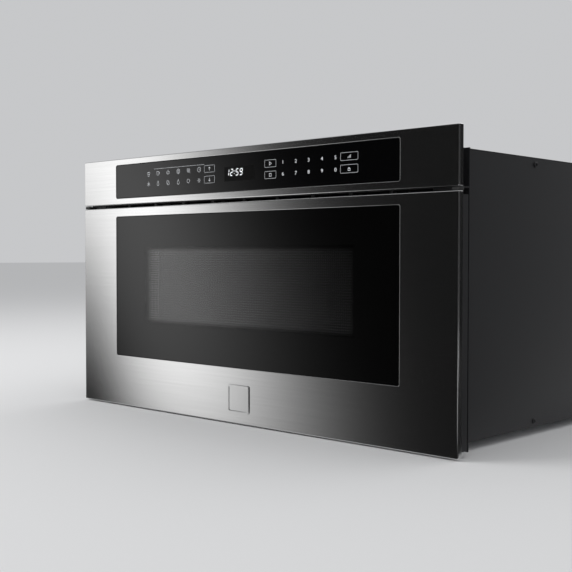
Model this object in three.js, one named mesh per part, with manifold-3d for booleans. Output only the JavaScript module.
// Microwave drawer, 30-inch class, built in under a worktop.
//
// Millimetres, +Z up. X runs to the right across the face, Y runs back from the face, and the
// origin is on the floor under the middle of the whole unit. Inside this file Y is counted from
// the plane of the steel face, so that every depth is "so far behind the face".

import * as THREE from 'three';
import { mergeVertices } from 'three/addons/utils/BufferGeometryUtils.js';
import Module from 'manifold-3d';

// ---------------------------------------------------------------------------------------------
// Driving dimensions
// ---------------------------------------------------------------------------------------------

// Clearances
const SEAT = 0.3;              // between two pieces that sit on each other
const RUN = 0.4;               // between two pieces that slide in each other
const PASS = 1;                // round a piece that passes through a hole in a sheet

// Space that the food goes into
const BOX_W = 441;
const BOX_D = 420;
const BOX_WALL_H = 175;        // height of the drawer's walls above its floor
const BOX_WALL_T = 3;
const BOX_FLOOR_T = 5;
const DRAWER_TRAVEL = 380;

// Cavity round the drawer
const CAVITY_SIDE_GAP = 5.5;   // drawer wall to cavity wall
const CAVITY_UNDER_GAP = 10;   // cavity floor to drawer floor
const CAVITY_HEADROOM = 14;    // top of the drawer's walls to the roof
const CAVITY_REAR_GAP = 15.5;  // drawer's back wall to the cavity's back
const SHEET_T = 1.2;           // cavity and chassis sheet

// Bays of the body round the cavity
const UNDER_BAY = 88.8;
const SIDE_BAY = 125;
const REAR_BAY = 117;

// Feet
const FOOT_H = 12;
const FOOT_R = 15;
const FOOT_EDGE = 2;
const FOOT_TAPER = 3;
const FOOT_INSET = 40;         // foot centre from the edges of the base

// Steel face
const FACE_CLEARANCE = 2;      // lower edge of the drawer front above the floor
const FACE_OVERLAP = 25.5;     // face wider than the body, each side
const SKIN_T = 1.2;
const SKIN_RETURN = 8;         // depth of the folded edge
const SKIN_LIP = 12;           // width of the lip folded in behind
const REVEAL = 5.2;            // gap between the drawer front and the control fascia
const FASCIA_H = 74.8;
const BODY_TOP_SETBACK = 24;   // top of the body below the top of the fascia
const CUTOUT_R = 3;            // corner radius of the two glass cut-outs

// Window
const VIEW_SIDE_MARGIN = 7.5;  // from the drawer's inner wall to the see-through area
const VIEW_LOWER_MARGIN = 25;  // from the drawer's floor
const VIEW_UPPER_MARGIN = 33.5;
const PRINT_SIDE = 77.9;       // black printed border of the outer glass
const PRINT_LOWER = 58.9;
const PRINT_UPPER = 53.1;
const GLASS_T = 5;
const GLASS_SETBACK = 0.6;     // front of the glass behind the steel
const GLASS_EDGE_GAP = 0.5;
const GLASS_SEAT_W = 16;       // width of the raised ring that carries the glass
const SCREEN_T = 0.8;
const SCREEN_BORDER = 10;
const SCREEN_COLUMNS = 16;
const SCREEN_ROWS = 4;
const SCREEN_BAR = 6;          // bar between two openings of the screen
const PANE_T = 3;
const PANE_BORDER = 6;

// Door of the drawer
const TRAY_T = 1.2;
const TRAY_SIDE_INSET = 7;     // from the face's edge
const TRAY_LOWER_INSET = 6;
const TRAY_UPPER_INSET = 3.5;
const TRAY_DEPTH = 21.7;
const SEAL_SIDE = 23;          // choke seal beyond the mouth of the cavity
const SEAL_LOWER = 18;
const SEAL_UPPER = 14;
const FRONT_ABOVE_SEAL = 6;
const CHOKE_T = 2;
const CHOKE_WEB = 3;
const CHOKE_DEPTH = 21.1;
const COVER_T = 1.8;
const SEAL_GAP = 0.5;          // closed drawer to the front plate
const GLIDE_W = 10;            // two ribs that slide on the cavity floor
const GLIDE_L = 54;
const GLIDE_INSET = 24;

// Emblem plate under the window
const BADGE_W = 44;
const BADGE_H = 41;
const BADGE_T = 1.4;
const BADGE_RISE = 15.8;       // lower edge of the plate above the drawer front's lower edge
const BADGE_BEVEL = 0.7;
const BADGE_PIN_R = 1.5;
const BADGE_PIN_SPACING = 22;

// Front plate, whose outer flanges bear on the cabinet
const PLATE_T = 1.5;
const PLATE_SIDE_INSET = 8;    // from the face's edge
const PLATE_LOWER_INSET = 4;
const PLATE_UPPER_INSET = 2;
const FIXING_HOLE_R = 2.5;
const FIXING_INSET = 9;
const FIXING_LOWER = 54;
const FIXING_PITCH = 130;
const FIXING_ROWS = 3;

// Control panel
const CONTROL_MARGIN = 10.05;  // steel above and below the control glass
const CONTROL_GLASS_T = 4;
const CONTROL_LEDGE = 7;       // width of the ledge under the edge of the glass
const HOUSING_SIDE_INSET = 29; // rear box of the housing from the face's edge
const HOUSING_UPPER_INSET = 6;
const HOUSING_T = 2.5;
const DISPLAY_W = 62.8;
const DISPLAY_H = 20.9;
const DISPLAY_OFFSET = 0.7;    // right of the middle
const DISPLAY_DEPTH = 14;
const BOARD_W = 420;
const BOARD_H = 44;
const BOARD_T = 1.6;
const POST_R = 3;
const POST_INSET = 8;

// Air outlet behind the reveal
const GRILLE_SETBACK = 11;
const GRILLE_T = 2;
const GRILLE_SIDE_INSET = 8;   // from the face's edge
const GRILLE_SLOTS = 10;
const SLOTS_SIDE_INSET = 14;   // from the body's side
const GRILLE_RIB = 6;

// Slides
const RAIL_STANDOFF = 31.8;    // from the cavity's wall
const RAIL_RISE = 63;          // middle of the slide above the drawer's floor
const RAIL_W = 13;
const RAIL_H = 46;
const RAIL_T = 1.4;
const RAIL_LIP = 3;
const RAIL_SETBACK = 5;        // fixed rail behind the front plate
const RAIL_L = 450;
const MIDDLE_RAIL_SHORTER = 5; // at each end
const MOVING_RAIL_SHORTER = 20;
const BRACKET_L = 30;
const BRACKET_INSET = 45;
const RAIL_FLANGE_W = 24;
const RAIL_FLANGE_T = 2;

// Drawer drive: a rack on the drawer and a pinion on a gear motor
const GEAR_MODULE = 2;
const PINION_TEETH = 18;
const PRESSURE_ANGLE = THREE.MathUtils.degToRad(20);
const TOOTH_BACKLASH = 0.4;
const ADDENDUM = 0.85;         // in modules
const DEDENDUM = 1.2;
const PINION_T = 14;
const RACK_T = 12;
const RACK_BACK_W = 12;
const RACK_FOOT_MARGIN = 8;
const RACK_X = -150;           // back edge of the rack
const RACK_RISE = 13;          // above the base pan
const PINION_SETBACK = 45;     // pinion's axis behind the front plate
const PINION_SHAFT_R = 4;
const COLLAR_R = 6.5;
const COLLAR_T = 2.5;
const DRIVE_MOTOR_H = 50;
const DRIVE_MOTOR_L = 60;
const DRIVE_LEG_T = 6;

// Interlock
const LATCH_OUTBOARD = 35;     // from the slide
const LATCH_RISE = 70;         // above the slide's middle
const HOOK_T = 8;
const HOOK_H = 10;
const HOOK_REACH = 20;         // behind the front plate
const HOOK_NOSE = 5;
const HOOK_FOOT = 26;
const SWITCH_W = 22;
const SWITCH_H = 32;
const SWITCH_L = 44;
const PLUNGER_R = 2.5;
const PLUNGER_L = 13;
const PLUNGER_TRAVEL = 3;
const PLUNGER_TO_HOOK = 1;

// Antenna under the cavity floor
const WELL_HALF = 125;
const WELL_DEPTH = 16.5;
const WELL_FLANGE = 6;
const WELL_LEDGE = 5;          // floor sheet that reaches in over the well
const ANTENNA_COVER_LAP = 5;    // ceramic cover beyond the well, each side
const ANTENNA_COVER_T = 4;
const CERAMIC_CORNER_R = 8;
const ROTOR_R = 95;
const ROTOR_T = 1.5;
const ROTOR_RISE = 6;          // above the well's bottom
const ROTOR_STEM_R = 4;
const COUPLING_R = 12;         // opening between waveguide and well
const GUIDE_W = 90;
const GUIDE_H = 40;
const GUIDE_T = 1.5;
const GUIDE_FORE = 50;         // waveguide ahead of the antenna's axis
const GUIDE_AFT = 40;          // behind the magnetron's axis
const STIRRER_R = 24;
const STIRRER_H = 22;
const STEM_SOCKET = 6;

// Magnetron
const MAGNETRON_SETBACK = 56;  // axis behind the cavity's back
const MAGNETRON_W = 86;
const MAGNETRON_D = 68;
const MAGNETRON_H = 74;
const YOKE_T = 3;
const FIN_COUNT = 7;
const FIN_T = 1.5;
const FIN_INSET = 6;
const ANODE_R = 20;
const FILTER_H = 34;
const DOME_R = 8;
const DOME_H = 24;

// Power supply
const SUPPLY_W = 190;
const SUPPLY_D = 84;
const SUPPLY_INSET = 18;       // from the body's left side
const SUPPLY_RISE = 34;        // tray above the base pan
const SUPPLY_T = 3;
const SUPPLY_LEG = 10;
const PART_INSET = 12;         // heat sink and transformer from the tray's ends
const SINK_W = 70;
const SINK_D = 60;
const SINK_BASE_T = 6;
const SINK_H = 52;
const SINK_FINS = 6;
const SINK_FIN_T = 3;
const TRANSFORMER_W = 50;
const TRANSFORMER_D = 56;
const TRANSFORMER_H = 60;
const CAPACITOR_R = 12;
const CAPACITOR_H = 38;

// Cooling fan
const FAN_INSET = 176;         // fan's axis from the body's right side
const FAN_SIZE = 136;
const FAN_BORE_R = 62;
const FAN_DEPTH = 24;
const FAN_RISE = 30;           // frame above the base pan
const FAN_REAR_GAP = 16;       // frame to the rear panel
const FAN_TIP_GAP = 2;
const FAN_HUB_R = 20;
const FAN_BLADES = 7;
const FAN_SPOKE_W = 8;
const FAN_SPOKE_T = 4;
const FAN_MOTOR_R = 26;
const FAN_MOTOR_L = 30;
const FAN_SHAFT_R = 3;

// Lamp over the roof
const LAMP_INSET = 80.2;       // from the right wall of the cavity
const LAMP_SETBACK = 90;
const LAMP_BULB_RISE = 4;
const LAMP_BULB_L = 26;
const LAMP_BRACKET_T = 4;
const LAMP_BRACKET_W = 24;
const LAMP_SOCKET_R = 15;
const LAMP_SOCKET_H = 26;
const LAMP_BULB_R = 11;
const LAMP_HOLE_R = 3;
const LAMP_HOLE_PITCH = 9;

// Rear panel
const GLAND_INSET = 104;       // from the body's left side
const GLAND_Z = 60;
const GLAND_R = 9;
const GLAND_BORE_R = 4.2;
const GLAND_FLANGE_R = 15;
const GLAND_PROUD = 4;
const GLAND_DEPTH = 8;
const VENT_SLOT_W = 46;
const VENT_SLOT_H = 5;
const VENT_PITCH_X = 60;
const VENT_PITCH_Z = 14;
const SIDE_VENTS = 6;
const SIDE_VENT_INSET = 60;    // from the rear edge, and above the base
const WALL_VENTS = 4;
const WALL_VENT_INSET = 40;    // from the back of the cavity
const WALL_VENT_RISE = 50;     // above the slide

// Chassis folds
const FOLD_H = 14;

// ---------------------------------------------------------------------------------------------
// Places that follow from the dimensions (Y is the depth behind the steel face)
// ---------------------------------------------------------------------------------------------

const baseTop = FOOT_H + SHEET_T;
const cavityFloor = baseTop + UNDER_BAY;
const boxFloor = cavityFloor + CAVITY_UNDER_GAP;
const boxFloorTop = boxFloor + BOX_FLOOR_T;
const boxTop = boxFloorTop + BOX_WALL_H;
const cavityRoof = boxTop + CAVITY_HEADROOM;

const boxHalf = BOX_W / 2;
const boxOuterHalf = boxHalf + BOX_WALL_T;
const cavityHalf = boxOuterHalf + CAVITY_SIDE_GAP;
const cavityOuterHalf = cavityHalf + SHEET_T;
const bodyHalf = cavityHalf + SIDE_BAY;
const faceHalf = bodyHalf + FACE_OVERLAP;

const sealHalf = cavityHalf + SEAL_SIDE;
const sealBottom = cavityFloor - SEAL_LOWER;
const sealTop = cavityRoof + SEAL_UPPER;
const frontBottom = FACE_CLEARANCE;
const frontTop = sealTop + FRONT_ABOVE_SEAL;
const fasciaBottom = frontTop + REVEAL;
const fasciaTop = fasciaBottom + FASCIA_H;
const bodyTop = fasciaTop - BODY_TOP_SETBACK;

const trayFront = SKIN_RETURN + SEAT;
const trayBack = trayFront + TRAY_T;
const trayRim = trayFront + TRAY_DEPTH;
const trayHalf = faceHalf - TRAY_SIDE_INSET;
const trayBottom = frontBottom + TRAY_LOWER_INSET;
const trayTop = frontTop - TRAY_UPPER_INSET;
const chokeFront = trayBack + SEAT;
const chokeBack = chokeFront + CHOKE_DEPTH;
const coverFront = chokeBack + SEAT;
const coverBack = coverFront + COVER_T;
const plateFront = coverBack + SEAL_GAP;
const plateBack = plateFront + PLATE_T;
const bodyFront = plateBack + SEAT;

const boxFront = chokeBack + SEAT;
const boxBack = boxFront + BOX_D;
const cavityBack = boxBack + BOX_WALL_T + CAVITY_REAR_GAP;
const rearFront = cavityBack + SHEET_T + SEAT + REAR_BAY;
const rearBack = rearFront + SHEET_T;
const unitDepth = rearBack + GLAND_PROUD;
const badgeProud = SEAT + BADGE_T;

const viewHalf = boxHalf - VIEW_SIDE_MARGIN;
const viewBottom = boxFloorTop + VIEW_LOWER_MARGIN;
const viewTop = boxTop - VIEW_UPPER_MARGIN;
const windowHalf = viewHalf + PRINT_SIDE;
const windowBottom = viewBottom - PRINT_LOWER;
const windowTop = viewTop + PRINT_UPPER;
const controlBottom = fasciaBottom + CONTROL_MARGIN;
const controlTop = fasciaTop - CONTROL_MARGIN;

const railInner = cavityOuterHalf + RAIL_STANDOFF;
const railOuter = railInner + RAIL_W;
const railZ = boxFloorTop + RAIL_RISE;
const railFront = plateBack + RAIL_SETBACK;
const railBack = railFront + RAIL_L;
const latchX = railOuter + LATCH_OUTBOARD;
const latchZ = railZ + LATCH_RISE;

const fanX = bodyHalf - FAN_INSET;
const lampX = cavityOuterHalf - LAMP_INSET;
const glandX = -bodyHalf + GLAND_INSET;

const antennaY = boxFront + BOX_D / 2;
const wellTop = cavityFloor - SHEET_T - SEAT;
const wellBottom = wellTop - WELL_DEPTH;
const guideTop = wellBottom - SEAT;
const guideBottom = guideTop - GUIDE_H;
const magnetronY = cavityBack + MAGNETRON_SETBACK;

const pitchRadius = GEAR_MODULE * PINION_TEETH / 2;
const toothPitch = Math.PI * GEAR_MODULE;
const rackPitchX = RACK_X + RACK_BACK_W + DEDENDUM * GEAR_MODULE;
const pinionX = rackPitchX + pitchRadius;
const pinionY = plateBack + PINION_SETBACK;
const rackBottom = baseTop + RACK_RISE;
const rackTop = rackBottom + RACK_T;
const pinionBottom = rackBottom - (PINION_T - RACK_T) / 2;

// ---------------------------------------------------------------------------------------------
// Finishes
// ---------------------------------------------------------------------------------------------

function finish(color, roughness, metalness) {
  return new THREE.MeshStandardMaterial({ color, roughness, metalness });
}

const brushedSteel = finish(0xc9cacb, 0.32, 1);
const galvanised = finish(0xb4b8ba, 0.45, 0.9);
const blackPaint = finish(0x17181a, 0.5, 0.2);
const cavityEnamel = finish(0xa9aca9, 0.4, 0.1);
const blackGlass = finish(0x0b0c0e, 0.05, 0);
const clearGlass = finish(0xbfc9cc, 0.04, 0);
const blackPlastic = finish(0x16171a, 0.55, 0);
const greyPlastic = finish(0x5d6165, 0.5, 0);
const whitePlastic = finish(0xe4e4de, 0.45, 0);
const ceramic = finish(0xe8e3d6, 0.35, 0);
const rubber = finish(0x1b1b1c, 0.85, 0);
const board = finish(0x1c5a34, 0.6, 0);
const aluminium = finish(0xc2c5c8, 0.4, 1);
const bulbGlass = finish(0xfff0d0, 0.1, 0);
const polished = finish(0xd8dadc, 0.18, 1);

// ---------------------------------------------------------------------------------------------
// Shape helpers
// ---------------------------------------------------------------------------------------------

const wasm = await Module();
wasm.setup();

// Turns a closed three.js geometry into a solid that can be joined and cut.
function toSolid(geometry) {
  geometry.deleteAttribute('normal');
  geometry.deleteAttribute('uv');
  const merged = mergeVertices(geometry, 1e-4);
  const triangles = [];
  for (let i = 0; i < merged.index.count; i += 3) {
    const [a, b, c] = [0, 1, 2].map((k) => merged.index.getX(i + k));
    if (a !== b && b !== c && c !== a) {
      triangles.push(a, b, c);
    }
  }
  const mesh = new wasm.Mesh({
    numProp: 3,
    vertProperties: new Float32Array(merged.attributes.position.array),
    triVerts: new Uint32Array(triangles),
  });
  return new wasm.Manifold(mesh);
}

function toGeometry(solid) {
  const mesh = solid.getMesh();
  const geometry = new THREE.BufferGeometry();
  geometry.setAttribute('position', new THREE.BufferAttribute(mesh.vertProperties, 3));
  geometry.setIndex(new THREE.BufferAttribute(mesh.triVerts, 1));
  geometry.computeVertexNormals();
  return geometry;
}

function join(first, ...others) {
  return others.reduce((sum, solid) => sum.add(solid), first);
}

function cut(first, ...others) {
  return others.reduce((rest, solid) => rest.subtract(solid), first);
}

// A box between two limits on each axis.
function block([x0, x1], [y0, y1], [z0, z1]) {
  const geometry = new THREE.BoxGeometry(x1 - x0, y1 - y0, z1 - z0);
  geometry.translate((x0 + x1) / 2, (y0 + y1) / 2, (z0 + z1) / 2);
  return toSolid(geometry);
}

// A span on the left (side -1) or the right (side 1), given by its distances from the middle.
function span(side, inner, outer) {
  return side > 0 ? [inner, outer] : [-outer, -inner];
}

function centred(middle, size) {
  return [middle - size / 2, middle + size / 2];
}

// A rectangle with optional round corners, as an outline or as a hole.
function rectangle([u0, u1], [v0, v1], radius = 0) {
  const path = new THREE.Shape();
  if (radius === 0) {
    path.setFromPoints([[u0, v0], [u1, v0], [u1, v1], [u0, v1]].map(([u, v]) => new THREE.Vector2(u, v)));
    return path;
  }
  path.moveTo(u0 + radius, v0);
  path.lineTo(u1 - radius, v0);
  path.absarc(u1 - radius, v0 + radius, radius, -Math.PI / 2, 0);
  path.lineTo(u1, v1 - radius);
  path.absarc(u1 - radius, v1 - radius, radius, 0, Math.PI / 2);
  path.lineTo(u0 + radius, v1);
  path.absarc(u0 + radius, v1 - radius, radius, Math.PI / 2, Math.PI);
  path.lineTo(u0, v0 + radius);
  path.absarc(u0 + radius, v0 + radius, radius, Math.PI, 1.5 * Math.PI);
  return path;
}

function disc(u, v, radius) {
  const path = new THREE.Shape();
  path.absarc(u, v, radius, 0, 2 * Math.PI);
  return path;
}

// Directions in which an outline's u and v and its thickness run, for each axis of thickness.
const bases = {
  x: [new THREE.Vector3(0, 1, 0), new THREE.Vector3(0, 0, 1), new THREE.Vector3(1, 0, 0)],
  y: [new THREE.Vector3(1, 0, 0), new THREE.Vector3(0, 0, 1), new THREE.Vector3(0, -1, 0)],
  z: [new THREE.Vector3(1, 0, 0), new THREE.Vector3(0, 1, 0), new THREE.Vector3(0, 0, 1)],
};

// An outline, given in the two other axes, made thick along one axis.
function prism(axis, outline, [from, to], segments) {
  const options = { depth: to - from, bevelEnabled: false, curveSegments: segments };
  const geometry = new THREE.ExtrudeGeometry(outline, options);
  const [u, v, w] = bases[axis];
  geometry.applyMatrix4(new THREE.Matrix4().makeBasis(u, v, w));
  const start = axis === 'y' ? to : from;
  const along = new THREE.Vector3(Math.abs(w.x), Math.abs(w.y), Math.abs(w.z));
  geometry.translate(...along.multiplyScalar(start).toArray());
  return toSolid(geometry);
}

// A prism with holes right through it.
function slab(axis, outline, [from, to], holes = [], segments = 6) {
  const tools = holes.map((hole) => prism(axis, hole, [from - 1, to + 1], segments));
  return cut(prism(axis, outline, [from, to], segments), ...tools);
}

// A round bar along one axis through the point (u, v) of the two other axes.
function bar(axis, [u, v], radius, range, segments = 8) {
  return slab(axis, disc(u, v, radius), range, [], segments);
}

const unit = new THREE.Group();
const drawer = new THREE.Group();
unit.add(drawer);
unit.position.set(0, badgeProud - (unitDepth + badgeProud) / 2, 0);

function place(group, name, solid, material) {
  const mesh = new THREE.Mesh(toGeometry(solid), material);
  mesh.name = name;
  group.add(mesh);
}

const sides = [['left', -1], ['right', 1]];

// ---------------------------------------------------------------------------------------------
// Chassis
// ---------------------------------------------------------------------------------------------

const bodySpan = [-bodyHalf, bodyHalf];
const bodyY = [bodyFront, rearFront - SEAT];
const innerHalf = bodyHalf - SHEET_T - SEAT;

function foldPair(z) {
  return sides.map(([, side]) => block(span(side, innerHalf - SHEET_T, innerHalf), bodyY, z));
}

const footY = [bodyY[0] + FOOT_INSET, bodyY[1] - FOOT_INSET];
const footX = bodyHalf - FOOT_INSET;
const basePlate = block([-innerHalf, innerHalf], bodyY, [FOOT_H, baseTop]);
place(unit, 'base_pan', join(basePlate, ...foldPair([FOOT_H, baseTop + FOLD_H])), galvanised);

function foot() {
  const top = FOOT_H - SEAT;
  const side = [[FOOT_R - FOOT_EDGE, 0], [FOOT_R, FOOT_EDGE], [FOOT_R - FOOT_TAPER, top]];
  const outline = [[0, 0], ...side, [0, top]];
  const geometry = new THREE.LatheGeometry(outline.map(([r, z]) => new THREE.Vector2(r, z)), 20);
  geometry.rotateX(Math.PI / 2);
  return toSolid(geometry);
}

for (const [row, y] of [['front', footY[0]], ['rear', footY[1]]]) {
  for (const [name, side] of sides) {
    const mesh = new THREE.Mesh(toGeometry(foot()), rubber);
    mesh.name = `foot_${row}_${name}`;
    mesh.position.set(side * footX, y, 0);
    unit.add(mesh);
  }
}

for (const [name, side] of sides) {
  const x = span(side, bodyHalf - SHEET_T, bodyHalf);
  const slots = [];
  for (let i = 0; i < SIDE_VENTS; i += 1) {
    const slotY = centred(bodyY[1] - SIDE_VENT_INSET - i * VENT_PITCH_Z, VENT_SLOT_H);
    slots.push(rectangle(slotY, [baseTop + SIDE_VENT_INSET, baseTop + SIDE_VENT_INSET + VENT_SLOT_W]));
  }
  const panel = slab('x', rectangle(bodyY, [FOOT_H, bodyTop - SHEET_T - SEAT]), x, slots);
  place(unit, `${name}_side_panel`, panel, blackPaint);
}

const topPlate = block(bodySpan, bodyY, [bodyTop - SHEET_T, bodyTop]);
const topFolds = foldPair([bodyTop - SHEET_T - FOLD_H, bodyTop]);
place(unit, 'top_cover', join(topPlate, ...topFolds), blackPaint);

function rearVents(middle, columns, bottom, rows) {
  const holes = [];
  for (let column = 0; column < columns; column += 1) {
    for (let row = 0; row < rows; row += 1) {
      const x = middle + (column - (columns - 1) / 2) * VENT_PITCH_X;
      const z = bottom + row * VENT_PITCH_Z;
      holes.push(rectangle(centred(x, VENT_SLOT_W), centred(z, VENT_SLOT_H)));
    }
  }
  return holes;
}

const fanBottom = baseTop + FAN_RISE;
const fanZ = fanBottom + FAN_SIZE / 2;
const glandHole = disc(glandX, GLAND_Z, GLAND_R + SEAT);
const rearHoles = [
  glandHole,
  ...rearVents(fanX, 2, fanZ - 2.5 * VENT_PITCH_Z, 6),
  ...rearVents(0, 8, bodyTop - 4 * VENT_PITCH_Z, 3),
];
const rearPlate = slab('y', rectangle(bodySpan, [FOOT_H, bodyTop]), [rearFront, rearBack], rearHoles);
place(unit, 'rear_panel', rearPlate, galvanised);

const glandCentre = [glandX, GLAND_Z];
const glandFlange = bar('y', glandCentre, GLAND_FLANGE_R, [rearBack + SEAT, unitDepth]);
const glandBarrel = bar('y', glandCentre, GLAND_R, [rearBack - GLAND_DEPTH, rearBack + 1]);
const glandBore = bar('y', glandCentre, GLAND_BORE_R, [rearBack - GLAND_DEPTH - 1, unitDepth + 1]);
place(unit, 'cord_gland', cut(join(glandFlange, glandBarrel), glandBore), blackPlastic);

// Front plate: the mouth of the cavity and the holes for everything that reaches into the body.
const plateHalf = faceHalf - PLATE_SIDE_INSET;
const plateZ = [frontBottom + PLATE_LOWER_INSET, bodyTop - PLATE_UPPER_INSET];
const middleRailSize = RAIL_H - 2 * (RAIL_T + RUN);
const grilleHalf = faceHalf - GRILLE_SIDE_INSET;
const slotsHalf = bodyHalf - SLOTS_SIDE_INSET;
const grilleBottom = trayTop + PASS;
const grilleTop = fasciaBottom + SKIN_T;
const slotPitch = (2 * slotsHalf - GRILLE_RIB) / GRILLE_SLOTS;

function grilleSlots(z, rib) {
  const slots = [];
  for (let i = 0; i < GRILLE_SLOTS; i += 1) {
    const x = -slotsHalf + GRILLE_RIB / 2 + (i + 0.5) * slotPitch;
    slots.push(rectangle(centred(x, slotPitch - rib), z));
  }
  return slots;
}

function platePassages() {
  const holes = [rectangle([-cavityHalf, cavityHalf], [cavityFloor, cavityRoof])];
  const railGap = RAIL_T + RUN - PASS;
  for (const [, side] of sides) {
    const railX = span(side, railInner + railGap, railOuter - railGap);
    holes.push(rectangle(railX, centred(railZ, middleRailSize + 2 * PASS)));
    const hookX = centred(side * latchX, HOOK_T + 2 * PASS);
    const hookZ = [latchZ - HOOK_H / 2 - PASS, latchZ + HOOK_H / 2 + HOOK_NOSE + PASS];
    holes.push(rectangle(hookX, hookZ));
    for (let row = 0; row < FIXING_ROWS; row += 1) {
      const x = side * (plateHalf - FIXING_INSET);
      holes.push(disc(x, plateZ[0] + FIXING_LOWER + row * FIXING_PITCH, FIXING_HOLE_R));
    }
  }
  const rackX = [RACK_X - PASS, rackPitchX + ADDENDUM * GEAR_MODULE + PASS];
  holes.push(rectangle(rackX, [rackBottom - PASS, rackTop + PASS]));
  holes.push(...grilleSlots([grilleBottom + GRILLE_T, grilleTop - GRILLE_T], 3 * GRILLE_RIB));
  return holes;
}

const plateOutline = rectangle([-plateHalf, plateHalf], plateZ);
const frontPlate = slab('y', plateOutline, [plateFront, plateBack], platePassages());
place(unit, 'front_plate', frontPlate, blackPaint);

// ---------------------------------------------------------------------------------------------
// Control fascia
// ---------------------------------------------------------------------------------------------

const controlX = [-windowHalf, windowHalf];
const controlZ = [controlBottom, controlTop];

// A sheet folded back round its edge, with a cut-out for a pane.
function foldedSkin(z, cutX, cutZ) {
  const outer = block([-faceHalf, faceHalf], [0, SKIN_RETURN], z);
  const inX = [-faceHalf + SKIN_T, faceHalf - SKIN_T];
  const inZ = [z[0] + SKIN_T, z[1] - SKIN_T];
  const pocket = block(inX, [SKIN_T, SKIN_RETURN + 1], inZ);
  const opening = slab('y', rectangle(cutX, cutZ, CUTOUT_R), [-1, SKIN_T + 1], [], 3);
  return cut(outer, pocket, opening);
}

// A pane that fills a cut-out, set a little behind the steel.
function cutoutPane([x0, x1], [z0, z1], thickness) {
  const x = [x0 + GLASS_EDGE_GAP, x1 - GLASS_EDGE_GAP];
  const z = [z0 + GLASS_EDGE_GAP, z1 - GLASS_EDGE_GAP];
  return slab('y', rectangle(x, z, CUTOUT_R), [GLASS_SETBACK, GLASS_SETBACK + thickness], [], 3);
}

place(unit, 'control_fascia', foldedSkin([fasciaBottom, fasciaTop], controlX, controlZ), brushedSteel);
place(unit, 'control_glass', cutoutPane(controlX, controlZ, CONTROL_GLASS_T), blackGlass);

const housingBack = plateFront - SEAT;
const housingFloor = housingBack - HOUSING_T;
const housingZ = [fasciaBottom + SKIN_T + SEAT, fasciaTop - SKIN_T - SEAT];
const housingHalf = faceHalf - SKIN_T - SEAT;
const housingRearHalf = faceHalf - HOUSING_SIDE_INSET;
const ledgeY = GLASS_SETBACK + CONTROL_GLASS_T + SEAT;
const boardBack = housingFloor - POST_R;
const boardFront = boardBack - BOARD_T;
const controlMiddle = (controlBottom + controlTop) / 2;

function controlHousing() {
  const flange = block([-housingHalf, housingHalf], [SKIN_T + SEAT, SKIN_RETURN], housingZ);
  const rearZ = [housingZ[0], housingZ[1] - HOUSING_UPPER_INSET];
  const rear = block([-housingRearHalf, housingRearHalf], [SKIN_RETURN - 1, housingBack], rearZ);
  const glassPocket = block(
    [controlX[0] - SEAT, controlX[1] + SEAT],
    [0, ledgeY],
    [controlZ[0] - SEAT, controlZ[1] + SEAT],
  );
  const inner = block(
    [controlX[0] + CONTROL_LEDGE, controlX[1] - CONTROL_LEDGE],
    [0, housingFloor],
    [controlZ[0] + CONTROL_LEDGE / 2, controlZ[1] - CONTROL_LEDGE / 2],
  );
  const posts = [];
  for (const x of [-1, 1]) {
    for (const z of [-1, 1]) {
      const centre = [x * (BOARD_W / 2 - POST_INSET), controlMiddle + z * (BOARD_H / 2 - POST_INSET)];
      posts.push(bar('y', centre, POST_R, [boardBack + SEAT, housingFloor + 1], 5));
    }
  }
  return join(cut(join(flange, rear), glassPocket, inner), ...posts);
}

place(unit, 'control_housing', controlHousing(), blackPlastic);

const boardX = [-BOARD_W / 2, BOARD_W / 2];
place(unit, 'control_board', block(boardX, [boardFront, boardBack], centred(controlMiddle, BOARD_H)), board);

const displayBack = boardFront - SEAT;
const displayZ = centred(controlMiddle - 1.5, DISPLAY_H);
const displayX = centred(DISPLAY_OFFSET, DISPLAY_W);
const displayBody = block(displayX, [displayBack - DISPLAY_DEPTH, displayBack], displayZ);
const displayWell = block(
  [displayX[0] + 2, displayX[1] - 2],
  [displayBack - DISPLAY_DEPTH - 1, displayBack - DISPLAY_DEPTH + 2],
  [displayZ[0] + 2, displayZ[1] - 2],
);
place(unit, 'display_module', cut(displayBody, displayWell), whitePlastic);

// The outlet grille hangs under the housing, behind the reveal.
function ventGrille() {
  const faceZ = [grilleBottom, grilleTop];
  const slots = grilleSlots([grilleBottom + GRILLE_T, grilleTop - GRILLE_T], GRILLE_RIB);
  const faceY = [GRILLE_SETBACK, GRILLE_SETBACK + GRILLE_T];
  const outline = rectangle([-grilleHalf, grilleHalf], faceZ);
  const face = slab('y', outline, faceY, slots);
  const top = [grilleTop - GRILLE_T, grilleTop];
  const flange = block([-grilleHalf, grilleHalf], [GRILLE_SETBACK, plateFront - SEAT], top);
  return join(face, flange);
}

place(unit, 'vent_grille', ventGrille(), blackPlastic);

// ---------------------------------------------------------------------------------------------
// Cavity
// ---------------------------------------------------------------------------------------------

const cavityY = [bodyFront, cavityBack];
const cavityX = [-cavityOuterHalf, cavityOuterHalf];

for (const [name, side] of sides) {
  const slots = [];
  for (let row = 0; row < WALL_VENTS; row += 1) {
    const z = railZ + WALL_VENT_RISE + row * VENT_PITCH_Z;
    const y = [cavityBack - WALL_VENT_INSET - VENT_SLOT_W, cavityBack - WALL_VENT_INSET];
    slots.push(rectangle(y, centred(z, VENT_SLOT_H)));
  }
  const outline = rectangle(cavityY, [cavityFloor + SEAT, cavityRoof - SEAT]);
  const wall = slab('x', outline, span(side, cavityHalf, cavityOuterHalf), slots);
  place(unit, `cavity_${name}_wall`, wall, cavityEnamel);
}

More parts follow.
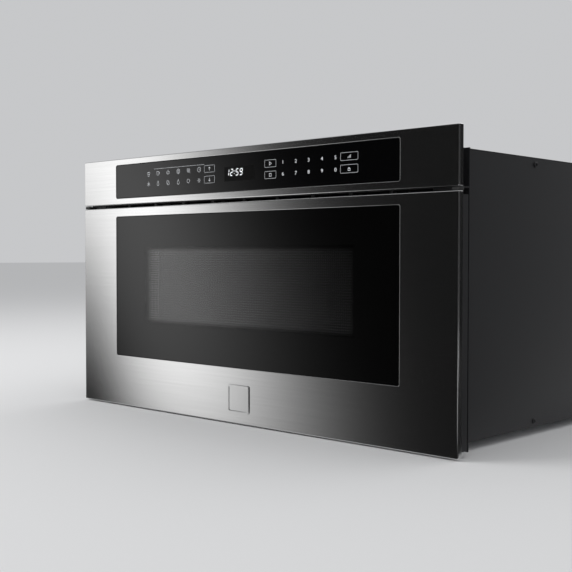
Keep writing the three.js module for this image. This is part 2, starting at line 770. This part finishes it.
const lampY = cavityBack - LAMP_SETBACK;
const lampHoles = [];
for (const i of [-1, 0, 1]) {
  for (const j of [-1, 0, 1]) {
    lampHoles.push(disc(lampX + i * LAMP_HOLE_PITCH, lampY + j * LAMP_HOLE_PITCH, LAMP_HOLE_R));
  }
}
const roofTop = cavityRoof + SHEET_T;
const roofSheet = slab('z', rectangle(cavityX, cavityY), [cavityRoof, roofTop], lampHoles, 3);
place(unit, 'cavity_roof', roofSheet, cavityEnamel);

const floorHoleX = [-WELL_HALF + WELL_LEDGE, WELL_HALF - WELL_LEDGE];
const floorHoleY = centred(antennaY, floorHoleX[1] - floorHoleX[0]);
const floorHole = rectangle(floorHoleX, floorHoleY);
const floorSheet = slab('z', rectangle(cavityX, cavityY), [cavityFloor - SHEET_T, cavityFloor], [floorHole]);
place(unit, 'cavity_floor', floorSheet, cavityEnamel);

const cavityBackY = [cavityBack + SEAT, cavityBack + SEAT + SHEET_T];
place(unit, 'cavity_back_wall', block(cavityX, cavityBackY, [cavityFloor - SHEET_T, roofTop]), cavityEnamel);

function lamp() {
  const base = roofTop + SEAT;
  const bulbBottom = base + LAMP_BULB_RISE;
  const neck = bulbBottom + LAMP_BULB_L;
  const top = neck + LAMP_SOCKET_H;
  const outline = [
    [0, bulbBottom], [LAMP_BULB_R * 0.6, bulbBottom + LAMP_BULB_L * 0.08],
    [LAMP_BULB_R, bulbBottom + LAMP_BULB_L * 0.35], [LAMP_BULB_R * 0.8, bulbBottom + LAMP_BULB_L * 0.7],
    [LAMP_BULB_R * 0.5, neck - 2], [LAMP_SOCKET_R, neck], [LAMP_SOCKET_R, top], [0, top],
  ];
  const geometry = new THREE.LatheGeometry(outline.map(([r, z]) => new THREE.Vector2(r, z)), 16);
  geometry.rotateX(Math.PI / 2);
  geometry.translate(lampX, lampY, 0);
  const legX = [lampX + LAMP_SOCKET_R + LAMP_BRACKET_T / 2, lampX + LAMP_SOCKET_R + LAMP_BRACKET_T * 1.5];
  const bracketY = centred(lampY, LAMP_BRACKET_W);
  const leg = block(legX, bracketY, [base, top - LAMP_BRACKET_T]);
  const tabZ = [neck + LAMP_BRACKET_T, neck + 2 * LAMP_BRACKET_T];
  const tab = block([lampX + LAMP_SOCKET_R * 0.7, legX[1]], bracketY, tabZ);
  return join(toSolid(geometry), leg, tab);
}

place(unit, 'cavity_lamp', lamp(), bulbGlass);

// ---------------------------------------------------------------------------------------------
// Microwave feed: well, antenna, waveguide, magnetron
// ---------------------------------------------------------------------------------------------

const wellX = [-WELL_HALF, WELL_HALF];
const wellY = centred(antennaY, 2 * WELL_HALF);

function antennaWell() {
  const body = block(wellX, wellY, [wellBottom, wellTop]);
  const flangeHalf = WELL_HALF + WELL_FLANGE;
  const flangeY = centred(antennaY, 2 * flangeHalf);
  const flange = block([-flangeHalf, flangeHalf], flangeY, [wellTop - SHEET_T, wellTop]);
  const inside = WELL_HALF - SHEET_T;
  const pocket = block([-inside, inside], centred(antennaY, 2 * inside), [wellBottom + SHEET_T, wellTop + 1]);
  const hole = bar('z', [0, antennaY], COUPLING_R, [wellBottom - 1, wellTop + 1]);
  return cut(join(body, flange), pocket, hole);
}

place(unit, 'antenna_well', antennaWell(), galvanised);

const ceramicHalf = WELL_HALF + ANTENNA_COVER_LAP;
const coverX = [-ceramicHalf, ceramicHalf];
const coverZ = [cavityFloor + SEAT, cavityFloor + SEAT + ANTENNA_COVER_T];
const coverOutline = rectangle(coverX, centred(antennaY, 2 * ceramicHalf), CERAMIC_CORNER_R);
place(unit, 'antenna_cover', slab('z', coverOutline, coverZ, [], 3), ceramic);

function waveguide() {
  const y = [antennaY - GUIDE_FORE, magnetronY + GUIDE_AFT];
  const outer = block(centred(0, GUIDE_W), y, [guideBottom, guideTop]);
  const inner = block(
    centred(0, GUIDE_W - 2 * GUIDE_T),
    [y[0] + GUIDE_T, y[1] - GUIDE_T],
    [guideBottom + GUIDE_T, guideTop - GUIDE_T],
  );
  const coupling = bar('z', [0, antennaY], COUPLING_R, [guideTop - 5, guideTop + 1]);
  const stemHole = bar('z', [0, antennaY], ROTOR_STEM_R + PASS, [guideBottom - 1, guideBottom + 5]);
  const launch = bar('z', [0, magnetronY], DOME_R + 2 * PASS, [guideTop - 5, guideTop + 1]);
  return cut(outer, inner, coupling, stemHole, launch);
}

place(unit, 'waveguide', waveguide(), galvanised);

const stirrerTop = guideBottom - SEAT;
const stemBottom = stirrerTop - STEM_SOCKET;

function stirrerMotor() {
  const can = bar('z', [0, antennaY], STIRRER_R, [stirrerTop - STIRRER_H, stirrerTop], 12);
  const ears = block(centred(0, 2 * STIRRER_R + 20), centred(antennaY, 12), [stirrerTop - 2, stirrerTop]);
  const socket = bar('z', [0, antennaY], ROTOR_STEM_R + SEAT, [stemBottom - SEAT, stirrerTop + 1]);
  return cut(join(can, ears), socket);
}

place(unit, 'stirrer_motor', stirrerMotor(), whitePlastic);

function antennaRotor() {
  const bottom = wellBottom + ROTOR_RISE;
  const windows = [];
  for (let i = 0; i < 3; i += 1) {
    const from = i * 2 * Math.PI / 3 + 0.25;
    const to = from + 2 * Math.PI / 3 - 0.9;
    const window = new THREE.Shape();
    window.absarc(0, 0, ROTOR_R - 14, from, to, false);
    window.absarc(0, 0, ROTOR_R * 0.35, to, from, true);
    windows.push(window);
  }
  const plate = slab('z', disc(0, 0, ROTOR_R), [bottom, bottom + ROTOR_T], windows, 16);
  const stem = bar('z', [0, 0], ROTOR_STEM_R, [stemBottom, bottom + 1]);
  return join(plate, stem);
}

const rotorMesh = new THREE.Mesh(toGeometry(antennaRotor()), aluminium);
rotorMesh.name = 'antenna_rotor';
rotorMesh.position.set(0, antennaY, 0);
unit.add(rotorMesh);

function magnetron() {
  const bottom = guideTop + SEAT;
  const top = bottom + MAGNETRON_H;
  const x = centred(0, MAGNETRON_W);
  const y = centred(magnetronY, MAGNETRON_D);
  const frame = cut(
    block(x, y, [bottom, top]),
    block([x[0] - 1, x[1] + 1], [y[0] + YOKE_T, y[1] - YOKE_T], [bottom + YOKE_T, top - YOKE_T]),
  );
  const anode = bar('z', [0, magnetronY], ANODE_R, [bottom + 1, top - 1], 10);
  const finPitch = (MAGNETRON_H - 2 * YOKE_T) / (FIN_COUNT + 1);
  const fins = [];
  for (let i = 1; i <= FIN_COUNT; i += 1) {
    const z = centred(bottom + YOKE_T + i * finPitch, FIN_T);
    fins.push(block([x[0] + FIN_INSET, x[1] - FIN_INSET], [y[0] + 1, y[1] - 1], z));
  }
  const filterY = centred(magnetronY, MAGNETRON_D * 0.8);
  const filter = block(centred(0, MAGNETRON_W * 0.8), filterY, [top - 1, top + FILTER_H]);
  const dome = bar('z', [0, magnetronY], DOME_R, [guideTop - DOME_H, bottom + 1]);
  return join(frame, anode, ...fins, filter, dome);
}

place(unit, 'magnetron', magnetron(), galvanised);

// ---------------------------------------------------------------------------------------------
// Power supply and cooling fan in the rear bay
// ---------------------------------------------------------------------------------------------

const bayMiddle = (cavityBackY[1] + rearFront) / 2;

function powerSupply() {
  const left = -bodyHalf + SHEET_T + SUPPLY_INSET;
  const x = [left, left + SUPPLY_W];
  const y = centred(bayMiddle, SUPPLY_D);
  const trayBottomZ = baseTop + SUPPLY_RISE;
  const top = trayBottomZ + SUPPLY_T;
  const pieces = [block(x, y, [trayBottomZ, top])];
  for (const legX of [x[0], x[1] - SUPPLY_LEG]) {
    for (const legY of [y[0], y[1] - SUPPLY_LEG]) {
      const legZ = [baseTop + SEAT, trayBottomZ + 1];
      pieces.push(block([legX, legX + SUPPLY_LEG], [legY, legY + SUPPLY_LEG], legZ));
    }
  }
  const sinkX = [x[0] + PART_INSET, x[0] + PART_INSET + SINK_W];
  const sinkY = centred(bayMiddle, SINK_D);
  pieces.push(block(sinkX, sinkY, [top - 1, top + SINK_BASE_T]));
  const finPitch = (SINK_W - 2 * SINK_FIN_T) / (SINK_FINS - 1);
  for (let i = 0; i < SINK_FINS; i += 1) {
    const finX = centred(sinkX[0] + SINK_FIN_T + i * finPitch, SINK_FIN_T);
    pieces.push(block(finX, sinkY, [top + SINK_BASE_T - 1, top + SINK_H]));
  }
  const coreX = [x[1] - PART_INSET - TRANSFORMER_W, x[1] - PART_INSET];
  pieces.push(block(coreX, centred(bayMiddle, TRANSFORMER_D), [top - 1, top + TRANSFORMER_H]));
  const canCentre = [coreX[0] - CAPACITOR_R - SINK_FIN_T, bayMiddle];
  pieces.push(bar('z', canCentre, CAPACITOR_R, [top - 1, top + CAPACITOR_H]));
  return join(...pieces);
}

place(unit, 'power_supply', powerSupply(), board);

const fanBack = rearFront - FAN_REAR_GAP;
const fanFront = fanBack - FAN_DEPTH;
const spokeY = [fanFront - FAN_SPOKE_T, fanFront + 1];

function fanShroud() {
  const frameX = centred(fanX, FAN_SIZE);
  const bore = disc(fanX, fanZ, FAN_BORE_R);
  const frame = rectangle(frameX, [fanBottom, fanBottom + FAN_SIZE]);
  const ring = slab('y', frame, [fanFront, fanBack], [bore], 14);
  const spokes = [
    block(centred(fanX, FAN_SIZE - 2), spokeY, centred(fanZ, FAN_SPOKE_W)),
    block(centred(fanX, FAN_SPOKE_W), spokeY, centred(fanZ, FAN_SIZE - 2)),
  ];
  const hub = bar('y', [fanX, fanZ], FAN_MOTOR_R, spokeY, 10);
  const clearance = bar('y', [fanX, fanZ], FAN_SHAFT_R + PASS, [spokeY[0] - 1, spokeY[1] + 1]);
  const stand = block(centred(fanX, FAN_SIZE * 0.7), [fanFront, fanBack], [baseTop + SEAT, fanBottom + 1]);
  return join(ring, cut(join(...spokes, hub), clearance), stand);
}

place(unit, 'fan_shroud', fanShroud(), blackPlastic);

const fanMotorBack = spokeY[0] - SEAT;
const fanShaftEnd = fanBack - 4;
const fanMotorCan = bar('y', [fanX, fanZ], FAN_MOTOR_R, [fanMotorBack - FAN_MOTOR_L, fanMotorBack], 10);
const fanShaft = bar('y', [fanX, fanZ], FAN_SHAFT_R, [fanMotorBack - 1, fanShaftEnd]);
place(unit, 'fan_motor', join(fanMotorCan, fanShaft), galvanised);

function fanRotor() {
  const y = [fanFront + 4, fanBack - 2];
  const hub = bar('y', [0, 0], FAN_HUB_R, y, 10);
  const tip = FAN_BORE_R - FAN_TIP_GAP;
  const blades = [];
  for (let i = 0; i < FAN_BLADES; i += 1) {
    const geometry = new THREE.BoxGeometry(22, 1.6, tip - FAN_HUB_R + 2);
    geometry.rotateZ(THREE.MathUtils.degToRad(28));
    geometry.translate(0, (y[0] + y[1]) / 2, (tip + FAN_HUB_R - 5) / 2);
    geometry.rotateY(i * 2 * Math.PI / FAN_BLADES);
    blades.push(toSolid(geometry));
  }
  const bore = bar('y', [0, 0], FAN_SHAFT_R + SEAT, [y[0] - 1, y[1] + 1]);
  return cut(join(hub, ...blades), bore);
}

const fanMesh = new THREE.Mesh(toGeometry(fanRotor()), greyPlastic);
fanMesh.name = 'fan_rotor';
fanMesh.position.set(fanX, 0, fanZ);
unit.add(fanMesh);

// ---------------------------------------------------------------------------------------------
// Slides: each rail is a channel with turned-in lips, and holds the next one inside it
// ---------------------------------------------------------------------------------------------

function channel(side, step) {
  const inset = step * (RAIL_T + RUN);
  const [u0, u1] = [railInner + inset, railOuter - inset];
  const half = RAIL_H / 2 - inset;
  const lip = half - RAIL_T - RAIL_LIP;
  const upper = [[u0, half], [u1, half], [u1, lip], [u1 - RAIL_T, lip], [u1 - RAIL_T, half - RAIL_T]];
  upper.push([u0 + RAIL_T, half - RAIL_T]);
  const lower = [...upper].reverse().map(([u, z]) => [u, -z]);
  const points = [...upper, ...lower].map(([u, z]) => new THREE.Vector2(side * u, railZ + z));
  return new THREE.Shape(points);
}

function fixedRail(side) {
  const rail = slab('y', channel(side, 0), [railFront, railBack]);
  const brackets = [railFront + BRACKET_INSET, railBack - BRACKET_INSET - BRACKET_L].map((start) => {
    const y = [start, start + BRACKET_L];
    const arm = block(span(side, cavityOuterHalf + SEAT, railInner + 1), y, centred(railZ, RAIL_T * 2));
    const footX = span(side, cavityOuterHalf + SEAT, cavityOuterHalf + SEAT + RAIL_T);
    return join(arm, block(footX, y, centred(railZ, RAIL_H * 0.6)));
  });
  return join(rail, ...brackets);
}

for (const [name, side] of sides) {
  place(unit, `fixed_rail_${name}`, fixedRail(side), polished);
  const middleY = [railFront + MIDDLE_RAIL_SHORTER, railBack - MIDDLE_RAIL_SHORTER];
  place(unit, `middle_rail_${name}`, slab('y', channel(side, 1), middleY), polished);

  const flangeY = [chokeFront, chokeFront + RAIL_FLANGE_T];
  const rail = slab('y', channel(side, 2), [chokeFront, railBack - MOVING_RAIL_SHORTER]);
  const flangeX = centred(side * (railInner + railOuter) / 2, RAIL_FLANGE_W);
  const flange = block([Math.max(flangeX[0], side > 0 ? sealHalf + PASS : flangeX[0]),
    Math.min(flangeX[1], side < 0 ? -sealHalf - PASS : flangeX[1])], flangeY, centred(railZ, RAIL_H));
  place(drawer, `moving_rail_${name}`, join(rail, flange), polished);
}

// ---------------------------------------------------------------------------------------------
// Drawer front
// ---------------------------------------------------------------------------------------------

const windowX = [-windowHalf, windowHalf];
const windowZ = [windowBottom, windowTop];
const badgeZ = [frontBottom + BADGE_RISE, frontBottom + BADGE_RISE + BADGE_H];
const badgeMiddle = (badgeZ[0] + badgeZ[1]) / 2;

function badgePins(radius, y) {
  return [-1, 1].map((i) => bar('y', [0, badgeMiddle + i * BADGE_PIN_SPACING / 2], radius, y, 4));
}

function drawerSkin() {
  const skin = foldedSkin([frontBottom, frontTop], windowX, windowZ);
  const rimX = [-faceHalf + 0.5, faceHalf - 0.5];
  const rimZ = [frontBottom + 0.5, frontTop - 0.5];
  const openX = [-faceHalf + SKIN_LIP, faceHalf - SKIN_LIP];
  const openZ = [frontBottom + SKIN_LIP, frontTop - SKIN_LIP];
  const hole = rectangle(openX, openZ);
  const lip = slab('y', rectangle(rimX, rimZ), [SKIN_RETURN - SKIN_T, SKIN_RETURN], [hole]);
  return cut(join(skin, lip), ...badgePins(BADGE_PIN_R + SEAT, [-1, SKIN_T + 1]));
}

place(drawer, 'drawer_front_skin', drawerSkin(), brushedSteel);
place(drawer, 'window_glass', cutoutPane(windowX, windowZ, GLASS_T), blackGlass);

function badge() {
  const options = {
    depth: BADGE_T - BADGE_BEVEL,
    bevelEnabled: true,
    bevelThickness: BADGE_BEVEL,
    bevelSize: BADGE_BEVEL,
    bevelSegments: 1,
    curveSegments: 3,
  };
  const halfW = BADGE_W / 2 - BADGE_BEVEL;
  const halfH = BADGE_H / 2 - BADGE_BEVEL;
  const geometry = new THREE.ExtrudeGeometry(rectangle([-halfW, halfW], [-halfH, halfH], 3), options);
  geometry.rotateX(Math.PI / 2);
  geometry.translate(0, -SEAT, badgeMiddle);
  const keep = block([-BADGE_W, BADGE_W], [-badgeProud, -SEAT], [badgeZ[0] - 1, badgeZ[1] + 1]);
  return join(toSolid(geometry).intersect(keep), ...badgePins(BADGE_PIN_R, [-SEAT - 0.5, SKIN_T + 2]));
}

place(drawer, 'badge', badge(), polished);

const glassBack = GLASS_SETBACK + GLASS_T;
const viewX = [-viewHalf, viewHalf];
const viewZ = [viewBottom, viewTop];

function doorTray() {
  const x = [-trayHalf, trayHalf];
  const z = [trayBottom, trayTop];
  const inX = [x[0] + TRAY_T, x[1] - TRAY_T];
  const inZ = [z[0] + TRAY_T, z[1] - TRAY_T];
  const pan = cut(block(x, [trayFront, trayRim], z), block(inX, [trayBack, trayRim + 1], inZ));
  const ringX = [windowX[0] + GLASS_EDGE_GAP, windowX[1] - GLASS_EDGE_GAP];
  const ringZ = [windowZ[0] + GLASS_EDGE_GAP, windowZ[1] - GLASS_EDGE_GAP];
  const holeX = [ringX[0] + GLASS_SEAT_W, ringX[1] - GLASS_SEAT_W];
  const holeZ = [ringZ[0] + GLASS_SEAT_W, ringZ[1] - GLASS_SEAT_W];
  const hole = rectangle(holeX, holeZ);
  const ring = slab('y', rectangle(ringX, ringZ), [glassBack + SEAT, trayFront + TRAY_T / 2], [hole]);
  const opening = block(viewX, [0, trayBack + 1], viewZ);
  return cut(join(pan, ring), opening);
}

place(drawer, 'door_tray', doorTray(), blackPaint);

const screenX = [viewX[0] - SCREEN_BORDER, viewX[1] + SCREEN_BORDER];
const screenZ = [viewZ[0] - SCREEN_BORDER, viewZ[1] + SCREEN_BORDER];

function windowScreen() {
  const holes = [];
  const pitchX = (2 * viewHalf - SCREEN_BAR) / SCREEN_COLUMNS;
  const pitchZ = (viewTop - viewBottom - SCREEN_BAR) / SCREEN_ROWS;
  for (let column = 0; column < SCREEN_COLUMNS; column += 1) {
    for (let row = 0; row < SCREEN_ROWS; row += 1) {
      const x = -viewHalf + SCREEN_BAR / 2 + (column + 0.5) * pitchX;
      const z = viewBottom + SCREEN_BAR / 2 + (row + 0.5) * pitchZ;
      holes.push(rectangle(centred(x, pitchX - SCREEN_BAR), centred(z, pitchZ - SCREEN_BAR)));
    }
  }
  return slab('y', rectangle(screenX, screenZ), [chokeFront, chokeFront + SCREEN_T], holes);
}

place(drawer, 'window_screen', windowScreen(), blackPaint);

function chokeFrame() {
  const body = block([-sealHalf, sealHalf], [chokeFront, chokeBack], [sealBottom, sealTop]);
  const channelOuter = rectangle(
    [-sealHalf + CHOKE_T, sealHalf - CHOKE_T],
    [sealBottom + CHOKE_T, sealTop - CHOKE_T],
  );
  const channelInner = rectangle([-cavityHalf, cavityHalf], [cavityFloor, cavityRoof]);
  const groove = slab('y', channelOuter, [chokeFront + CHOKE_WEB, chokeBack + 1], [channelInner]);
  const view = block(viewX, [chokeFront - 1, chokeBack + 1], viewZ);
  const screenSeat = block(
    [screenX[0] - SEAT, screenX[1] + SEAT],
    [chokeFront - 1, chokeFront + SCREEN_T + SEAT],
    [screenZ[0] - SEAT, screenZ[1] + SEAT],
  );
  const paneReach = PANE_BORDER + SEAT;
  const paneSeat = block(
    [viewX[0] - paneReach, viewX[1] + paneReach],
    [chokeBack - PANE_T - SEAT, chokeBack + 1],
    [viewZ[0] - paneReach, viewZ[1] + paneReach],
  );
  return cut(body, groove, view, screenSeat, paneSeat);
}

place(drawer, 'choke_frame', chokeFrame(), galvanised);

const paneX = [viewX[0] - PANE_BORDER, viewX[1] + PANE_BORDER];
const paneZ = [viewZ[0] - PANE_BORDER, viewZ[1] + PANE_BORDER];
place(drawer, 'inner_pane', block(paneX, [chokeBack - PANE_T, chokeBack], paneZ), clearGlass);

const coverHole = rectangle(
  [-boxOuterHalf - SEAT, boxOuterHalf + SEAT],
  [boxFloor - SEAT, boxTop + SEAT],
);
const sealOutline = rectangle([-sealHalf, sealHalf], [sealBottom, sealTop]);
place(drawer, 'choke_cover', slab('y', sealOutline, [coverFront, coverBack], [coverHole]), blackPlastic);

// ---------------------------------------------------------------------------------------------
// Drawer box
// ---------------------------------------------------------------------------------------------

const wallZ = [boxFloorTop + SEAT, boxTop];
for (const [name, side] of sides) {
  const wall = block(span(side, boxHalf, boxOuterHalf), [boxFront, boxBack + BOX_WALL_T], wallZ);
  place(drawer, `drawer_${name}_wall`, wall, greyPlastic);
}
const backX = [-boxHalf + SEAT, boxHalf - SEAT];
place(drawer, 'drawer_back_wall', block(backX, [boxBack, boxBack + BOX_WALL_T], wallZ), greyPlastic);

function drawerFloor() {
  const y = [boxFront, boxBack + BOX_WALL_T];
  const plate = block([-boxOuterHalf, boxOuterHalf], y, [boxFloor, boxFloorTop]);
  const glides = sides.map(([, side]) => {
    const x = span(side, boxHalf - GLIDE_INSET - GLIDE_W, boxHalf - GLIDE_INSET);
    return block(x, [y[1] - GLIDE_L, y[1]], [cavityFloor + SEAT, boxFloor + 1]);
  });
  return join(plate, ...glides);
}

place(drawer, 'drawer_floor', drawerFloor(), greyPlastic);

// ---------------------------------------------------------------------------------------------
// Rack, pinion and gear motor
// ---------------------------------------------------------------------------------------------

// Rack teeth point to +X. A tooth stands at the pinion's axis, in a gap of the pinion.
function rack() {
  const tan = Math.tan(PRESSURE_ANGLE);
  const halfAtPitch = toothPitch / 4 - TOOTH_BACKLASH / 2;
  const tip = rackPitchX + ADDENDUM * GEAR_MODULE;
  const root = rackPitchX - DEDENDUM * GEAR_MODULE;
  const tipHalf = halfAtPitch - ADDENDUM * GEAR_MODULE * tan;
  const rootHalf = halfAtPitch + DEDENDUM * GEAR_MODULE * tan;
  const teeth = Math.ceil(DRAWER_TRAVEL / toothPitch) + 3;
  const end = pinionY + teeth * toothPitch;
  const points = [[RACK_X, chokeFront], [root, chokeFront]];
  for (let i = -2; i < teeth - 1; i += 1) {
    const y = pinionY + i * toothPitch;
    points.push([root, y - rootHalf], [tip, y - tipHalf], [tip, y + tipHalf], [root, y + rootHalf]);
  }
  points.push([root, end], [RACK_X, end]);
  const outline = new THREE.Shape(points.map(([x, y]) => new THREE.Vector2(x, y)));
  const shank = slab('z', outline, [rackBottom, rackTop]);
  const footX = [RACK_X - RACK_FOOT_MARGIN, root + RACK_FOOT_MARGIN];
  const footZ = [rackBottom - RACK_FOOT_MARGIN, rackTop + RACK_FOOT_MARGIN];
  const foot = block(footX, [chokeFront, chokeFront + RAIL_FLANGE_T], footZ);
  return join(shank, foot);
}

place(drawer, 'drive_rack', rack(), whitePlastic);

// Pinion teeth with involute flanks. One gap points to -X, at the rack.
function pinion() {
  const base = pitchRadius * Math.cos(PRESSURE_ANGLE);
  const tipRadius = pitchRadius + ADDENDUM * GEAR_MODULE;
  const rootRadius = pitchRadius - DEDENDUM * GEAR_MODULE;
  const involute = (radius) => Math.sqrt((radius / base) ** 2 - 1) - Math.acos(base / radius);
  const halfAtPitch = (toothPitch / 2 - TOOTH_BACKLASH) / 2 / pitchRadius;
  const halfAt = (radius) => halfAtPitch + involute(pitchRadius) - involute(Math.max(radius, base));
  const radii = [rootRadius, base, pitchRadius, tipRadius];
  const points = [];
  for (let i = 0; i < PINION_TEETH; i += 1) {
    const middle = Math.PI + (i + 0.5) * 2 * Math.PI / PINION_TEETH;
    for (const radius of radii) {
      const angle = middle - halfAt(radius);
      points.push(new THREE.Vector2(radius * Math.cos(angle), radius * Math.sin(angle)));
    }
    for (const radius of [...radii].reverse()) {
      const angle = middle + halfAt(radius);
      points.push(new THREE.Vector2(radius * Math.cos(angle), radius * Math.sin(angle)));
    }
  }
  const bore = disc(0, 0, PINION_SHAFT_R + SEAT);
  return slab('z', new THREE.Shape(points), [0, PINION_T], [bore]);
}

const pinionMesh = new THREE.Mesh(toGeometry(pinion()), whitePlastic);
pinionMesh.name = 'drive_pinion';
pinionMesh.position.set(pinionX, pinionY, pinionBottom);
unit.add(pinionMesh);

function driveMotor() {
  const bottom = pinionBottom + PINION_T + SEAT;
  const gearRadius = pitchRadius + 2 * GEAR_MODULE;
  const x = [RACK_X - PASS - DRIVE_LEG_T, pinionX + gearRadius + DRIVE_LEG_T];
  const y = centred(pinionY, DRIVE_MOTOR_L);
  const gearbox = block(x, y, [bottom, bottom + DRIVE_MOTOR_H * 0.45]);
  const can = bar('z', [pinionX, pinionY], DRIVE_MOTOR_L * 0.42, [bottom + 1, bottom + DRIVE_MOTOR_H], 10);
  const legZ = [baseTop + SEAT, bottom + 1];
  const legs = [[x[0], x[0] + DRIVE_LEG_T], [x[1] - DRIVE_LEG_T, x[1]]].map((legX) => block(legX, y, legZ));
  const shaft = bar('z', [pinionX, pinionY], PINION_SHAFT_R, [pinionBottom - SEAT - COLLAR_T, bottom + 1]);
  const collarZ = [pinionBottom - SEAT - COLLAR_T, pinionBottom - SEAT];
  const collar = bar('z', [pinionX, pinionY], COLLAR_R, collarZ);
  return join(gearbox, can, ...legs, shaft, collar);
}

place(unit, 'drive_motor', driveMotor(), galvanised);

// ---------------------------------------------------------------------------------------------
// Interlock: hooks on the drawer, switches behind the front plate
// ---------------------------------------------------------------------------------------------

const hookTip = plateBack + HOOK_REACH;
const plungerFront = hookTip + PLUNGER_TO_HOOK;
const plungerBack = plungerFront + PLUNGER_L;

function latchHook(side) {
  const x = centred(side * latchX, HOOK_T);
  const arm = block(x, [chokeFront, hookTip], centred(latchZ, HOOK_H));
  const nose = block(x, [hookTip - HOOK_NOSE, hookTip], [latchZ, latchZ + HOOK_H / 2 + HOOK_NOSE]);
  const footY = [chokeFront, chokeFront + RAIL_FLANGE_T];
  const base = block(centred(side * latchX, HOOK_FOOT), footY, centred(latchZ, HOOK_FOOT * 1.4));
  return join(arm, nose, base);
}

function latchSwitch(side) {
  const x = centred(side * latchX, SWITCH_W);
  const y = [plateBack + SEAT, plateBack + SEAT + SWITCH_L];
  const body = block(x, y, centred(latchZ, SWITCH_H));
  const mouth = block(
    centred(side * latchX, HOOK_T + 2 * PASS),
    [y[0] - 1, plungerFront + PLUNGER_TRAVEL + PASS],
    [latchZ - HOOK_H / 2 - PASS, latchZ + HOOK_H / 2 + HOOK_NOSE + PASS],
  );
  const boreEnd = plungerBack + PLUNGER_TRAVEL + PASS;
  const bore = bar('y', [side * latchX, latchZ], PLUNGER_R + SEAT, [y[0], boreEnd]);
  return cut(body, mouth, bore);
}

for (const [name, side] of sides) {
  place(drawer, `latch_hook_${name}`, latchHook(side), whitePlastic);
  place(unit, `latch_switch_${name}`, latchSwitch(side), blackPlastic);
  const plunger = bar('y', [side * latchX, latchZ], PLUNGER_R, [plungerFront, plungerBack]);
  place(unit, `switch_plunger_${name}`, plunger, whitePlastic);
}

export default unit;
